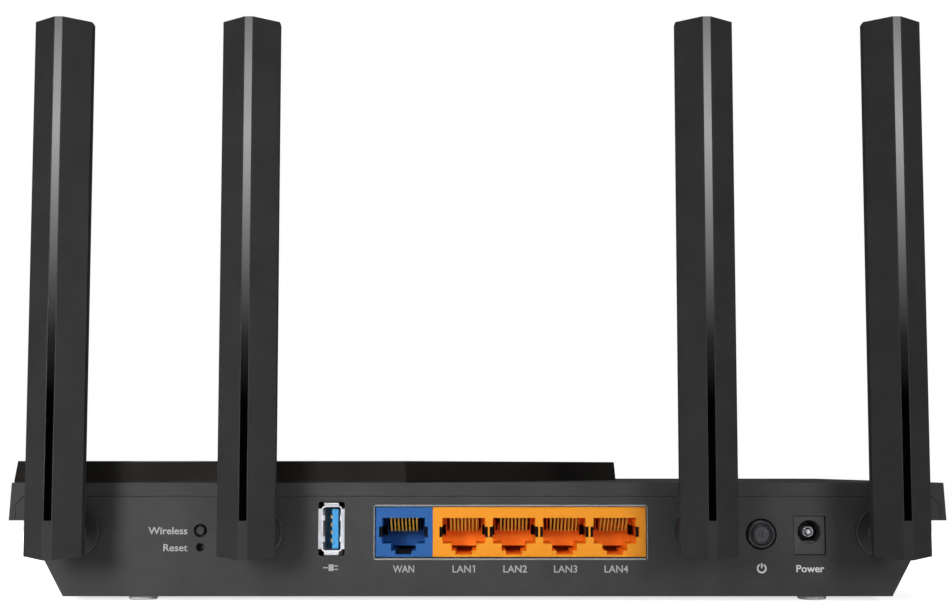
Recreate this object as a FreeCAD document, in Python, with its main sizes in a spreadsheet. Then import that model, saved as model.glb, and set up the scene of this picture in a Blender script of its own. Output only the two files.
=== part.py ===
"""Wireless router with four folding antennas, as a FreeCAD document of separate pieces.

Millimetres, +Z up.  The connector panel faces +Y, the status lights face -Y, and the origin
lies on the table under the middle of the whole object.
"""
import FreeCAD, Part
import Sketcher
import math
import os
import re

doc = FreeCAD.newDocument("router")

# ---------------------------------------------------------------- driving dimensions
SIZES = {
    # reach of a cutting tool past the face it opens, and of a piece into the one it grows from
    "beyond": 1, "overlap": 0.1, "root": 0.5,
    # casing
    "panel_y": 56, "front_y": -79, "wing_half": 129.8, "deck_half": 129.2, "deck_front_y": -78.4,
    "skirt_z": 22.2, "seam_z": 28.8, "seam_gap": 0.1, "deck_z": 32.6, "wall": 2, "thin_wall": 1.6,
    "floor_z": 1.35, "floor_half": 114.4, "shoulder_half": 125.7, "floor_front_y": -68,
    "shoulder_front_y": -75, "rim_half": 127.9, "rim_front_y": -77, "rim_gap": 0.2,
    "corner_radius": 2.2, "side_draft": 0.5, "front_draft": 0.3,
    # raised gloss panel
    "crown_z": 38.6, "crown_low_half": 128.7, "crown_top_half": 127.7, "crown_notch_x": 20.25,
    "crown_tip_x": -45.3, "crown_draft": 0.55, "crown_wall": 1.6, "crown_inset": 0.1,
    # feet, bosses, screws and keyholes
    "foot_x": 93.8, "foot_y_rear": 49.5, "foot_y_front": -62, "foot_radius": 4, "foot_recess": 0.6,
    "foot_gap": 0.1, "boss_x": 106, "boss_y_rear": 36, "boss_y_front": -60, "boss_radius": 4.6,
    "boss_top": 8, "post_radius": 3.4, "screw_radius": 1.2, "thread_gap": 0.02, "shank_gap": 0.4,
    "screw_head_radius": 2.9, "head_gap": 0.3, "screw_head_z": 2.6, "screw_head_top": 4.6,
    "screw_tip_z": 19, "drive_radius": 1.3, "drive_deep": 0.9,
    "keyhole_x": 60, "keyhole_y": -12, "keyhole_radius": 3.8, "keyslot_half": 2, "keyslot_reach": 9,
    # vents and status lights
    "vent_half": 1, "vent_step": 5, "vent_reach": 20, "vent_row_y": -48, "vent_row_step": 56,
    "louvre_half": 0.8, "louvre_step": 4, "louvre_x": -58, "louvre_front_y": -62, "louvre_rear_y": -22,
    "light_x": -20, "light_step": 10, "light_z": 27.3, "light_half": 1.5, "light_tall_half": 0.5,
    "light_gap": 0.1, "light_set_back": 0.35, "guide_half": 24, "guide_tall_half": 1.5,
    "guide_set_back": 4.2, "guide_thick": 2.8, "led_y": -62.5, "led_half": 1, "led_thick": 0.8,
    # main board
    "board_low": 10.5, "board_top": 12.1, "board_half": 99, "board_rear_y": 52.8,
    "board_front_y": -64, "standoff_x": 92, "standoff_y_rear": 28, "standoff_y_front": -56,
    "standoff_radius": 3, "pilot_radius": 1.1, "board_screw_radius": 1.05, "board_screw_head": 2.6,
    "board_head_thick": 1.8, "board_screw_reach": 7,
    # chips, cooling and screening
    "processor_x": -0.5, "processor_y": -12.5, "processor_half": 9.5, "chip_thick": 1.2,
    "pad_half": 8.5, "pad_thick": 0.8, "sink_half": 23.5, "sink_reach": 21.5, "sink_base": 2,
    "sink_top": 25, "fin_thick": 1, "fin_step": 4.6, "can_x": 58, "can_y": -14, "can_half": 16,
    "can_thick": 3, "can_sheet": 0.3, "radio_x": 57, "radio_half": 5, "radio_thick": 1,
    "coil_x": -31, "coil_step": 26, "coil_y": 24, "coil_half": 9, "coil_reach": 6, "coil_thick": 5.5,
    "smoother_x": -88, "smoother_y": 14, "smoother_step": 12, "smoother_radius": 4,
    "smoother_tall": 11,
    # network sockets
    "port_pitch": 13.97, "wan_x": 20.55, "lan_x": 3.85, "block_left": 28.35, "block_split": 12.45,
    "block_right": -46.65, "split_gap": 0.02, "block_low": 12.1, "block_top": 25.8,
    "block_face_y": 55.2, "block_back_y": 35, "port_half": 5.9, "port_low": 15.75, "port_top": 22.85,
    "port_back_y": 41.5, "latch_half": 3.45, "latch_low": 13.8, "latch_well_top": 14.4,
    "key_half": 2.25, "key_low": 12.75, "notch_inner": 5.2, "notch_half": 6.76, "notch_low": 17.5,
    "notch_top": 20.4, "comb_half": 0.33, "comb_low": 18.9, "comb_top": 22.3,
    "shield_gap": 0.2, "shield_sheet": 0.3, "shield_low": 11.5, "shield_face_y": 55.5,
    "shield_trim": 0.35,
    "window_gap": 0.25, "window_low": 11.45, "window_top": 26.35, "window_corner": 0.5,
    "contact_pitch": 1.02, "contact_half": 0.22, "contact_thick": 0.4, "contact_front_y": 53.2,
    "contact_bend_y": 49.2, "contact_tail_y": 36.5, "contact_roof_gap": 0.05,
    # usb socket, standing upright
    "usb_x": 40.45, "usb_z": 19.83, "usb_half": 2.8, "usb_tall_half": 6.3, "usb_sheet": 0.3,
    "usb_corner": 0.9, "usb_mouth_y": 55.1, "usb_face_y": 56.2, "usb_back_y": 41, "lip_root_y": 54.9,
    "lip_side": 3.62, "lip_end": 7.17, "lip_edge": 0.2, "lip_side_half": 5.55, "lip_end_half": 2,
    "spring_z": 2.95, "spring_half": 0.7, "spring_thick": 0.3, "spring_y": 51.5, "spring_tip_y": 54.3,
    "usb_window_half": 3.66, "usb_window_tall_half": 7.5, "usb_window_corner": 0.8,
    "usb_leg_half": 2.4, "usb_leg_y": 43, "usb_leg_end_y": 49,
    "tongue_x": 39.45, "usb_tongue_half": 0.85, "usb_tongue_tall_half": 5.4, "tongue_root_y": 44,
    "tongue_tip_y": 55.2, "finger_thick": 0.5, "finger_half": 0.5, "finger_tip_y": 54.2,
    "finger_near": 1, "finger_far": 3.25,
    # power inlet
    "inlet_x": -91.85, "inlet_z": 19, "inlet_half": 4.3, "inlet_gap": 0.17, "inlet_low": 12.75,
    "inlet_top": 23.3, "inlet_face_y": 55.5, "inlet_back_y": 42, "inlet_floor_y": 45,
    "inlet_bore": 3.2, "ledge_half": 2.2, "ledge_drop": 2.5, "ledge_y": 54.2, "inlet_pin_radius": 1,
    "inlet_pin_y": 55.2, "inlet_ring": 1.6, "inlet_ring_bore": 1.3, "inlet_ring_y": 54.4,
    # push buttons and their switches
    "power_x": -78.45, "power_z": 18.4, "power_radius": 3.92, "power_face_y": 57, "button_gap": 0.38,
    "power_back_y": 51.5, "power_stem_y": 48.3, "power_stem": 1.7, "power_ring": 2.75,
    "power_ring_bore": 2.5, "power_ring_deep": 0.45, "switch_half": 4.2, "switch_y": 34,
    "switch_face_y": 46, "wps_x": 76.7, "wps_z": 19.4, "wps_radius": 1.38, "wps_face_y": 56.1,
    "wps_flange": 2.4, "reset_z": 14.75, "reset_radius": 0.7, "reset_face_y": 53.4,
    "reset_flange": 1.6, "small_gap": 0.45, "flange_y": 51.5, "flange_thick": 0.9, "tail_y": 50.7,
    "tact_half": 3, "tact_tall_half": 2.2, "tact_y": 45.5, "tact_face_y": 49.3, "dome_radius": 1.2,
    "dome_tip_y": 50.1,
    # antennas
    "outer_x": 111.3, "inner_x": 60.8, "hub_z": 19.05, "hub_radius": 6.95, "hub_face_y": 57.6,
    "hub_gap": 0.05, "hub_rim": 0.32, "hub_dish": 0.45, "shaft_radius": 4, "shaft_gap": 0.06,
    "shaft_tip_y": 50, "neck_radius": 3.4, "neck_end_y": 66, "tongue_half": 2.15, "eye_radius": 2.6,
    "tilt_y": 73.7, "tilt_pin_radius": 0.6, "tilt_pin_gap": 0.06, "tilt_pin_half": 6.4,
    "clip_low_y": 52.2, "clip_high_y": 53.7, "clip_radius": 5.6, "clip_groove": 3, "clip_gap_half": 1.8,
    "lead_bore": 1.2, "blade_top": 156.4, "blade_heel": 13.5, "blade_toe": 12.8, "blade_half": 7.6,
    "blade_front_y": 71, "blade_seam_y": 72.8, "shell_gap": 0.02, "blade_edge_y": 74.6,
    "blade_facet_y": 75.1, "blade_facet_half": 6.9, "ridge_y": 79, "ridge_half": 1.15,
    "blade_chamfer": 0.7, "strip_low": 23, "strip_half": 1, "strip_deep": 0.6, "strip_gap": 0.01,
    "slot_half": 2.4, "slot_deep_y": 77.15, "slot_rise": 2.9, "room_low": 28, "room_ridge_half": 0.9,
    "room_ridge_wall": 1.5, "room_facet_wall": 0.9, "room_facet_inset": 1.2, "room_seam_inset": 0.7,
    "tip_wall": 1.4, "radiator_half": 5.5, "radiator_thick": 0.8, "radiator_low": 31,
    "radiator_top_gap": 6,
    # antenna leads
    "lead_set_back": 0.3, "lead_turn": 20, "lead_bend": 6, "lead_drop": 4, "lead_radius": 0.65,
    "plug_radius": 1.6, "plug_tall": 1.2, "outer_plug": 26, "inner_plug": 16,
}


def build_sheet():
    """Write every driving dimension into the spreadsheet under its own name."""
    made = doc.addObject("Spreadsheet::Sheet", "Sizes")
    for row, (alias, value) in enumerate(SIZES.items(), start=1):
        made.set(f"A{row}", alias)
        made.set(f"B{row}", str(value))
        made.setAlias(f"B{row}", alias)
    doc.recompute()
    return made


sheet = build_sheet()
NAMES = re.compile(r"\b(" + "|".join(sorted(SIZES, key=len, reverse=True)) + r")\b")
nodes = []


def number(expression):
    """The value of an expression of sheet names."""
    return float(sheet.evalExpression(str(expression)))


def bind(item, path, expression):
    """Bind one property of an object to an expression of sheet names."""
    item.setExpression(path, NAMES.sub(r"Sizes.\1", str(expression)))


def place(item, x=0, y=0, z=0):
    """Bind an object's position."""
    for axis, expression in zip("xyz", (x, y, z)):
        if expression != 0:
            bind(item, f"Placement.Base.{axis}", expression)


# ---------------------------------------------------------------- solid primitives
def box(name, x, y, z):
    """A block between a low and a high value on each axis."""
    made = doc.addObject("Part::Box", name)
    for path, (low, high) in zip(("Length", "Width", "Height"), (x, y, z)):
        bind(made, path, f"({high}) - ({low})")
    place(made, x[0], y[0], z[0])
    return made


TURNS = {
    "x": FreeCAD.Rotation(FreeCAD.Vector(0, 1, 0), 90),
    "y": FreeCAD.Rotation(FreeCAD.Vector(1, 0, 0), -90),
    "z": FreeCAD.Rotation(),
}


def rod(name, axis, x, y, z, radius, length):
    """A cylinder that starts at a point and runs along +x, +y or +z."""
    made = doc.addObject("Part::Cylinder", name)
    made.Placement = FreeCAD.Placement(FreeCAD.Vector(), TURNS[axis])
    bind(made, "Radius", radius)
    bind(made, "Height", length)
    place(made, x, y, z)
    return made


def fuse(name, parts):
    """One solid from several that touch."""
    made = doc.addObject("Part::MultiFuse", name)
    made.Shapes = parts
    made.Refine = True
    return made


def cut(name, base, tools):
    """A solid with others taken out of it."""
    made = doc.addObject("Part::Cut", name)
    made.Base = base
    made.Tool = tools[0] if len(tools) == 1 else group(name + "_tools", tools)
    made.Refine = True
    return made


def group(name, parts):
    """Separate solids kept side by side in one object."""
    made = doc.addObject("Part::Compound", name)
    made.Links = parts
    return made


def node(item, label):
    """Name a finished piece, which is exported under that name."""
    item.Label = label
    nodes.append(item)
    return item


# ---------------------------------------------------------------- sketched features
def origin_plane(body, role):
    """One of a body's own origin planes."""
    return next(plane for plane in body.Origin.OriginFeatures if plane.Role == role)


def outline(body, name, role, offset, points):
    """A closed polygon whose corners are bound to the sheet."""
    sketch = body.newObject("Sketcher::SketchObject", name)
    sketch.AttachmentSupport = (origin_plane(body, role), [""])
    sketch.MapMode = "FlatFace"
    bind(sketch, "AttachmentOffset.Base.z", offset)
    corners = [FreeCAD.Vector(number(u), number(v), 0) for u, v in points]
    for start, end in zip(corners, corners[1:] + corners[:1]):
        sketch.addGeometry(Part.LineSegment(start, end))
    for edge in range(len(corners)):
        sketch.addConstraint(Sketcher.Constraint("Coincident", edge, 2, (edge + 1) % len(corners), 1))
    for edge, point in enumerate(points):
        for kind, expression, value in zip(("DistanceX", "DistanceY"), point, corners[edge]):
            index = sketch.addConstraint(Sketcher.Constraint(kind, -1, 1, edge, 1, value))
            bind(sketch, f"Constraints[{index}]", expression)
    return sketch


def pad(body, name, sketch, length):
    """Grow a solid from a sketch along its plane's normal."""
    made = body.newObject("PartDesign::Pad", name)
    made.Profile = sketch
    bind(made, "Length", length)
    return made


def pocket(body, name, sketch, length, middle=False):
    """Cut a sketch out along its plane's normal, or both ways about its plane."""
    made = body.newObject("PartDesign::Pocket", name)
    made.Profile = sketch
    made.Reversed = not middle
    made.Midplane = middle
    bind(made, "Length", length)
    return made


def taper(body, name, low_points, low_z, high_points, high_z, kind="AdditiveLoft"):
    """A straight-sided solid, or a hollow, between two level outlines."""
    low = outline(body, name + "_low", "XY_Plane", low_z, low_points)
    high = outline(body, name + "_high", "XY_Plane", high_z, high_points)
    made = body.newObject("PartDesign::" + kind, name)
    made.Profile = low
    made.Sections = [high]
    made.Ruled = True
    return made


def rectangle(half, low, high):
    """The corners of a rectangle about x = 0."""
    return [(f"-({half})", low), (half, low), (half, high), (f"-({half})", high)]


def block_outline(x, y):
    """The corners of a rectangle between low and high values."""
    return [(x[0], y[0]), (x[1], y[0]), (x[1], y[1]), (x[0], y[1])]


def slab(name, x, y, half, reach, z):
    """A block about a point in plan, between two heights."""
    return box(name, (f"{x} - {half}", f"{x} + {half}"), (f"{y} - {reach}", f"{y} + {reach}"), z)


def rounded(name, x, z, half, tall_half, radius, y):
    """A block along y whose four long edges are rounded."""
    inner, upper = f"({half}) - ({radius})", f"({tall_half}) - ({radius})"
    parts = [
        box(name + "_wide", (f"{x} - ({half})", f"{x} + ({half})"), y,
            (f"{z} - ({upper})", f"{z} + {upper}")),
        box(name + "_tall", (f"{x} - ({inner})", f"{x} + {inner}"), y,
            (f"{z} - ({tall_half})", f"{z} + ({tall_half})")),
    ]
    for index, (side, end) in enumerate(((1, 1), (-1, 1), (-1, -1), (1, -1))):
        parts.append(rod(f"{name}_corner_{index}", "y", f"{x} + {side} * ({inner})", y[0],
                         f"{z} + {end} * ({upper})", radius, f"({y[1]}) - ({y[0]})"))
    return fuse(name, parts)


def ring(name, axis, x, y, z, radius, bore, length):
    """A cylinder with a bore right through it."""
    solid = rod(name + "_solid", axis, x, y, z, radius, length)
    start = {"x": x, "y": y, "z": z}
    start[axis] = f"{start[axis]} - beyond"
    core = rod(name + "_core", axis, start["x"], start["y"], start["z"], bore, f"({length}) + 2 * beyond")
    return cut(name, solid, [core])


# ---------------------------------------------------------------- casing
DISC_SPOTS = (("1", "outer_x"), ("2", "inner_x"), ("3", "-inner_x"), ("4", "-outer_x"))
CORNERS = (("a", 1, "rear"), ("b", -1, "rear"), ("c", 1, "front"), ("d", -1, "front"))
LIGHTS = range(5)
LOUVRES = range(16)
VENT_COLUMNS = range(-7, 8)


def panel_openings():
    """Everything that the connector panel lets through."""
    depth = ("panel_y - wall - beyond", "panel_y + beyond")
    block = rounded("block_window", "(block_left + block_right) / 2", "(window_low + window_top) / 2",
                    "(block_left - block_right) / 2 + window_gap", "(window_top - window_low) / 2",
                    "window_corner", depth)
    usb = rounded("usb_window", "usb_x", "usb_z", "usb_window_half", "usb_window_tall_half",
                  "usb_window_corner", depth)
    inlet = box("inlet_window", ("inlet_x - inlet_half - inlet_gap", "inlet_x + inlet_half + inlet_gap"), depth,
                ("inlet_low - inlet_gap", "inlet_top + inlet_gap"))
    holes = [("power", "power_x", "power_z", "power_radius + button_gap"),
             ("wps", "wps_x", "wps_z", "wps_radius + small_gap"),
             ("reset", "wps_x", "reset_z", "reset_radius + small_gap")]
    holes += [("shaft_" + tag, x, "hub_z", "shaft_radius + shaft_gap") for tag, x in DISC_SPOTS]
    return [block, usb, inlet] + [rod(name + "_hole", "y", x, depth[0], z, radius, "wall + 2 * beyond")
                                  for name, x, z, radius in holes]


def bottom_case():
    """The lower tub: sloped sides, a flat rim and the connector panel."""
    body = doc.addObject("PartDesign::Body", "tub")
    taper(body, "tub_outer", rectangle("floor_half", "floor_front_y", "panel_y"), "floor_z",
          rectangle("shoulder_half", "shoulder_front_y", "panel_y"), "skirt_z")
    inner_floor = rectangle("floor_half - wall + side_draft", "floor_front_y + wall - front_draft",
                            "panel_y - wall")
    inner_top = rectangle("shoulder_half - wall", "shoulder_front_y + wall", "panel_y - wall")
    taper(body, "tub_inner", inner_floor, "floor_z + wall", inner_top, "skirt_z", "SubtractiveLoft")
    rim = outline(body, "rim_outline", "XY_Plane", "skirt_z", rectangle("rim_half", "rim_front_y", "panel_y"))
    pad(body, "rim", rim, "wall")
    pocket(body, "rim_opening", outline(body, "rim_hole", "XY_Plane", "skirt_z", inner_top), "wall")
    panel = outline(body, "panel_outline", "XZ_Plane", "wall - panel_y", [
        ("-rim_half", "skirt_z"), ("rim_half", "skirt_z"), ("rim_half", "seam_z - corner_radius"),
        ("rim_half - corner_radius", "seam_z"), ("corner_radius - rim_half", "seam_z"),
        ("-rim_half", "seam_z - corner_radius")])
    panel_pad = pad(body, "panel", panel, "wall")
    panel_pad.Reversed = True
    added = []
    removed = panel_openings()
    for tag, side, end in CORNERS:
        x, y = f"{side} * boss_x", f"boss_y_{end}"
        added.append(rod("boss_" + tag, "z", x, y, "floor_z + root", "boss_radius",
                         "boss_top - floor_z - root"))
        removed.append(rod("counterbore_" + tag, "z", x, y, "floor_z - beyond", "screw_head_radius + head_gap",
                           "screw_head_top - floor_z + beyond"))
        removed.append(rod("screw_way_" + tag, "z", x, y, "floor_z", "screw_radius + shank_gap", "boss_top"))
        x, y = f"{side} * standoff_x", f"standoff_y_{end}"
        added.append(rod("standoff_" + tag, "z", x, y, "floor_z + root", "standoff_radius",
                         "board_low - floor_z - root"))
        removed.append(rod("pilot_" + tag, "z", x, y, "floor_z + wall", "pilot_radius", "board_low"))
        removed.append(rod("foot_seat_" + tag, "z", f"{side} * foot_x", f"foot_y_{end}", "floor_z - beyond",
                           "foot_radius + foot_gap", "beyond + foot_recess"))
    through = ("floor_z - beyond", "floor_z + wall + beyond")
    for tag, side in (("left", 1), ("right", -1)):
        x = f"{side} * keyhole_x"
        removed.append(rod("keyhole_" + tag, "z", x, "keyhole_y", through[0], "keyhole_radius",
                           "wall + 2 * beyond"))
        removed.append(box("keyslot_" + tag, (f"{x} - keyslot_half", f"{x} + keyslot_half"),
                           ("keyhole_y", "keyhole_y + keyslot_reach"), through))
    for row in range(2):
        for column in VENT_COLUMNS:
            x, y = f"{column} * vent_step", f"vent_row_y + {row} * vent_row_step"
            removed.append(box(f"floor_vent_{row}_{column - VENT_COLUMNS[0]}",
                               (f"{x} - vent_half", f"{x} + vent_half"), (y, f"{y} + vent_reach"), through))
    solid = fuse("tub_with_bosses", [body] + added)
    node(cut("tub_finished", solid, removed), "bottom_case")


def top_cover():
    """The upper cover: an inverted tray whose skirt closes round the tub's rim."""
    body = doc.addObject("PartDesign::Body", "tray")
    taper(body, "tray_outer", rectangle("wing_half", "front_y", "panel_y"), "skirt_z",
          rectangle("deck_half", "deck_front_y", "panel_y"), "deck_z")
    taper(body, "tray_inner",
          rectangle("rim_half + rim_gap", "rim_front_y - rim_gap", "panel_y - thin_wall"), "skirt_z",
          rectangle("rim_half + rim_gap - side_draft", "rim_front_y - rim_gap + front_draft",
                    "panel_y - thin_wall"), "deck_z - thin_wall", "SubtractiveLoft")
    mouth = outline(body, "mouth_outline", "XZ_Plane", "-panel_y - beyond", [
        ("-rim_half - seam_gap", "skirt_z - beyond"), ("rim_half + seam_gap", "skirt_z - beyond"),
        ("rim_half + seam_gap", "seam_z + seam_gap - corner_radius"),
        ("rim_half + seam_gap - corner_radius", "seam_z + seam_gap"),
        ("corner_radius - rim_half - seam_gap", "seam_z + seam_gap"),
        ("-rim_half - seam_gap", "seam_z + seam_gap - corner_radius")])
    pocket(body, "mouth", mouth, "wall + 2 * beyond")
    added = []
    removed = []
    for tag, side, end in CORNERS:
        x, y = f"{side} * boss_x", f"boss_y_{end}"
        added.append(rod("post_" + tag, "z", x, y, "boss_top", "post_radius", "deck_z - boss_top - root"))
        removed.append(rod("post_bore_" + tag, "z", x, y, "boss_top - beyond", "screw_radius",
                           "screw_tip_z - boss_top + 2 * beyond"))
    for column in LOUVRES:
        removed.append(box(f"deck_vent_{column}",
                           (f"louvre_x - {column} * louvre_step - louvre_half",
                            f"louvre_x - {column} * louvre_step + louvre_half"),
                           ("louvre_front_y", "louvre_rear_y"), ("deck_z - wall - beyond", "deck_z + beyond")))
    for index in LIGHTS:
        removed.append(box(f"lens_hole_{index}", light_span(index, "light_half + light_gap"),
                           ("front_y - beyond", "front_y + 2 * wall"),
                           ("light_z - light_tall_half - light_gap", "light_z + light_tall_half + light_gap")))
    solid = fuse("tray_with_posts", [body] + added)
    node(cut("tray_finished", solid, removed), "top_cover")


def light_span(index, half):
    """The low and high x of something centred on one status light."""
    centre = f"light_x + {index} * light_step"
    return f"{centre} - ({half})", f"{centre} + ({half})"


def gloss_panel():
    """The raised arrow-shaped gloss panel on the deck."""
    body = doc.addObject("PartDesign::Body", "crown")
    middle = "(panel_y + front_y) / 2"
    notch_lean = math.sqrt(2) - 1
    tip_lean = math.sqrt(2)

    def arrow(half, grow, inset):
        """The arrow's corners; grow moves its tip outwards and inset pulls in every side."""
        notch = f"crown_notch_x - {grow} + {inset} * {notch_lean:.3f}"
        rear, front = f"panel_y - crown_inset - {inset}", f"deck_front_y + crown_inset + {inset}"
        return [(notch, front), (f"{half} - {inset}", front), (f"{half} - {inset}", rear), (notch, rear),
                (f"crown_tip_x - {grow} + {inset} * {tip_lean:.3f}", middle)]

    taper(body, "crown_outer", arrow("crown_low_half", "crown_draft", "0"), "deck_z",
          arrow("crown_top_half", "0", "0"), "crown_z")
    hollow = outline(body, "crown_hollow", "XY_Plane", "deck_z", arrow("crown_top_half", "0", "crown_wall"))
    pocket(body, "crown_inside", hollow, "crown_z - deck_z - crown_wall")
    node(body, "gloss_panel")


def case_fittings():
    """Feet, and the screws of the case and the board."""
    feet = []
    screws = []
    board_screws = []
    for tag, side, end in CORNERS:
        feet.append(rod("foot_" + tag, "z", f"{side} * foot_x", f"foot_y_{end}", 0, "foot_radius",
                        "floor_z + foot_recess"))
        x, y = f"{side} * boss_x", f"boss_y_{end}"
        head = rod("screw_head_" + tag, "z", x, y, "screw_head_z", "screw_head_radius",
                   "screw_head_top - screw_head_z")
        shank = rod("screw_shank_" + tag, "z", x, y, "screw_head_top - root", "screw_radius - thread_gap",
                    "screw_tip_z - screw_head_top + root")
        socket = rod("screw_socket_" + tag, "z", x, y, "screw_head_z - beyond", "drive_radius",
                     "beyond + drive_deep")
        screws.append(cut("case_screw_" + tag, fuse("screw_blank_" + tag, [head, shank]), [socket]))
        x, y = f"{side} * standoff_x", f"standoff_y_{end}"
        head = rod("board_head_" + tag, "z", x, y, "board_top", "board_screw_head", "board_head_thick")
        shank = rod("board_shank_" + tag, "z", x, y, "board_top - board_screw_reach", "board_screw_radius",
                    "board_screw_reach + root")
        board_screws.append(fuse("board_screw_" + tag, [head, shank]))
    node(group("feet", feet), "rubber_feet")
    node(group("screws", screws), "case_screws")
    node(group("board_screw_set", board_screws), "board_screws")


def status_lights():
    """The light guide behind the front edge, and the lights on the board."""
    bar = box("guide_bar", ("-guide_half", "guide_half"),
              ("front_y + guide_set_back", "front_y + guide_set_back + guide_thick"),
              ("light_z - guide_tall_half", "light_z + guide_tall_half"))
    prongs = [box(f"lens_{index}", light_span(index, "light_half"),
                  ("front_y + light_set_back", "front_y + guide_set_back + root"),
                  ("light_z - light_tall_half", "light_z + light_tall_half")) for index in LIGHTS]
    node(fuse("guide", [bar] + prongs), "light_guide")
    chips = [box(f"led_{index}", light_span(index, "led_half"), ("led_y - led_half", "led_y + led_half"),
                 ("board_top", "board_top + led_thick")) for index in LIGHTS]
    node(group("leds", chips), "status_leds")


# ---------------------------------------------------------------- electronics
def main_board():
    """The printed circuit board with clearance for its screws."""
    blank = box("board_blank", ("-board_half", "board_half"), ("board_front_y", "board_rear_y"),
                ("board_low", "board_top"))
    holes = [rod("board_hole_" + tag, "z", f"{side} * standoff_x", f"standoff_y_{end}", "board_low - beyond",
                 "board_screw_radius + shank_gap", "board_top - board_low + 2 * beyond")
             for tag, side, end in CORNERS]
    node(cut("board", blank, holes), "main_board")


def cooling():
    """The processor, its thermal pad and the finned heatsink."""
    pad_low = "board_top + chip_thick"
    sink_low = "board_top + chip_thick + pad_thick"
    node(slab("processor_chip", "processor_x", "processor_y", "processor_half", "processor_half",
              ("board_top", pad_low)), "processor")
    node(slab("pad_on_processor", "processor_x", "processor_y", "pad_half", "pad_half", (pad_low, sink_low)),
         "thermal_pad")
    base = slab("sink_base_plate", "processor_x", "processor_y", "sink_half", "sink_reach",
                (sink_low, f"{sink_low} + sink_base"))
    fins = []
    for index in range(11):
        edge = f"processor_x - sink_half + {index} * fin_step"
        fins.append(box(f"sink_fin_{index}", (edge, f"{edge} + fin_thick"),
                        ("processor_y - sink_reach", "processor_y + sink_reach"),
                        (f"{sink_low} + sink_base - root", "sink_top")))
    node(fuse("sink", [base] + fins), "heatsink")


def board_parts():
    """Screened radios, line transformers and smoothing capacitors."""
    chips = []
    cans = []
    for tag, side in (("left", 1), ("right", -1)):
        spot = (f"{side} * can_x", "can_y")
        can = slab("can_" + tag, *spot, "can_half", "can_half", ("board_top", "board_top + can_thick"))
        room = slab("can_room_" + tag, *spot, "(can_half - can_sheet)", "(can_half - can_sheet)",
                    ("board_top - beyond", "board_top + can_thick - can_sheet"))
        cans.append(cut("screen_" + tag, can, [room]))
        chips.append(slab("radio_" + tag, f"{side} * radio_x", "can_y", "radio_half", "radio_half",
                          ("board_top", "board_top + radio_thick")))
    node(group("cans", cans), "shield_cans")
    node(group("radios", chips), "radio_chips")
    coils = [slab(f"coil_{index}", f"coil_x + {index} * coil_step", "coil_y", "coil_half", "coil_reach",
                  ("board_top", "board_top + coil_thick")) for index in range(3)]
    node(group("coils", coils), "line_transformers")
    smoothers = [rod(f"smoother_{index}", "z", "smoother_x", f"smoother_y - {index} * smoother_step",
                     "board_top", "smoother_radius", "smoother_tall") for index in range(3)]
    node(group("smoothers", smoothers), "capacitors")


def comb_x(x, index, count):
    """The middle of one of a row of contacts or slots about a socket's middle."""
    return f"{x} + ({index} - {(count - 1) / 2}) * contact_pitch"


def port_hollow(tag, x):
    """The stepped hollow of one network socket, with its side notches and the comb behind."""
    depth = ("port_back_y", "block_face_y + beyond")
    through = ("block_back_y - beyond", "block_face_y + beyond")
    behind = ("block_back_y - beyond", "port_back_y + beyond")
    latch = (f"{x} - latch_half", f"{x} + latch_half")
    notch = ("notch_low", "notch_top")
    made = [
        box("port_" + tag, (f"{x} - port_half", f"{x} + port_half"), depth, ("port_low", "port_top")),
        box("latch_" + tag, latch, depth, ("latch_low", "port_low + overlap")),
        box("latch_well_" + tag, latch, behind, ("latch_low", "latch_well_top")),
        box("key_" + tag, (f"{x} - key_half", f"{x} + key_half"), through,
            ("key_low", "latch_low + overlap")),
        box("notch_left_" + tag, (f"{x} + notch_inner", f"{x} + notch_half"), through, notch),
        box("notch_right_" + tag, (f"{x} - notch_half", f"{x} - notch_inner"), through, notch),
    ]
    for index in range(10):
        middle = comb_x(x, index, 10)
        made.append(box(f"comb_{tag}_{index}", (f"{middle} - comb_half", f"{middle} + comb_half"), behind,
                        ("comb_low", "comb_top")))
    return made


def contacts(tag, x):
    """Eight spring contacts that slope down from the roof of one socket into the comb."""
    made = []
    for index in range(8):
        body = doc.addObject("PartDesign::Body", f"contact_{tag}_{index}")
        profile = outline(body, f"contact_shape_{tag}_{index}", "YZ_Plane", "-contact_half", [
            ("contact_tail_y", "comb_low"), ("contact_bend_y", "comb_low"),
            ("contact_front_y", "port_top - contact_roof_gap - contact_thick"),
            ("contact_front_y", "port_top - contact_roof_gap"),
            ("contact_bend_y", "comb_low + contact_thick"), ("contact_tail_y", "comb_low + contact_thick")])
        pad(body, f"contact_pad_{tag}_{index}", profile, "2 * contact_half")
        place(body, comb_x(x, index, 8))
        made.append(body)
    return made


def network_sockets():
    """The single uplink socket and the block of four, with their contacts."""
    depth = ("block_back_y", "block_face_y")
    height = ("block_low", "block_top")
    wan = box("wan_blank", ("block_split + split_gap", "block_left"), depth, height)
    node(cut("wan_housing", wan, port_hollow("wan", "wan_x")), "wan_jack")
    node(group("wan_wires", contacts("wan", "wan_x")), "wan_contacts")
    lan = box("lan_blank", ("block_right", "block_split - split_gap"), depth, height)
    hollows = []
    wires = []
    for index in range(4):
        x = f"(lan_x - {index} * port_pitch)"
        hollows += port_hollow(f"lan_{index}", x)
        wires += contacts(f"lan_{index}", x)
    node(cut("lan_housing", lan, hollows), "lan_jacks")
    node(group("lan_wires", wires), "lan_contacts")


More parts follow.
